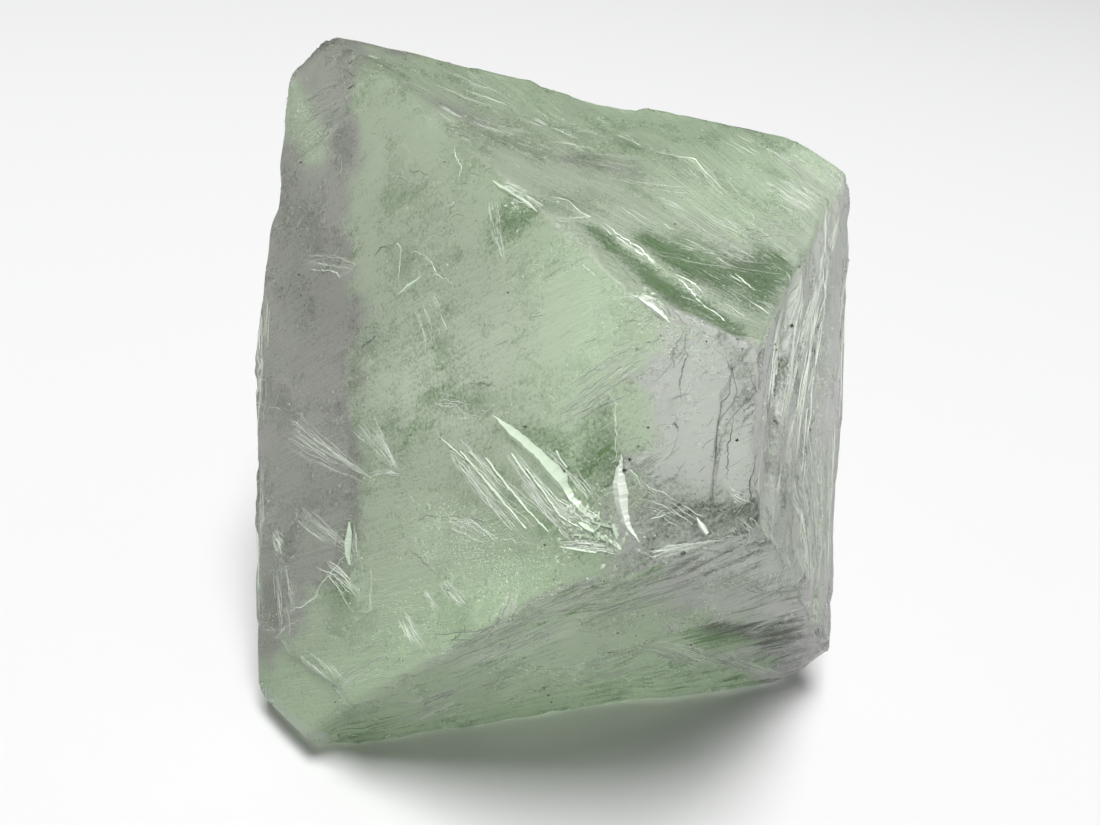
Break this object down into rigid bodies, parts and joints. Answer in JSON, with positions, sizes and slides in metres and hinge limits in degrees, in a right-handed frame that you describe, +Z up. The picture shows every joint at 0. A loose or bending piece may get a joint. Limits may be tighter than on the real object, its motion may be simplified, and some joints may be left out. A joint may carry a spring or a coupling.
{
  "type": "fluorite octahedron",
  "caption": "Rough cleaved octahedron of pale green and lavender fluorite with stepped faces, worn edges and blunt tips, lying on one face.",
  "frame": {"origin": "bottom centre of the crystal's box, on the surface it rests on", "axes": "+Z up from the face it lies on; the large front face looks towards -Y and the narrow stepped face towards +X"},
  "size_m": [0.028, 0.028, 0.0267],
  "materials": {
    "green_fluorite": "frosted, translucent"
  },
  "bodies": {
    "root": {"fluorite_crystal": "green_fluorite"}
  },
  "joints": []
}
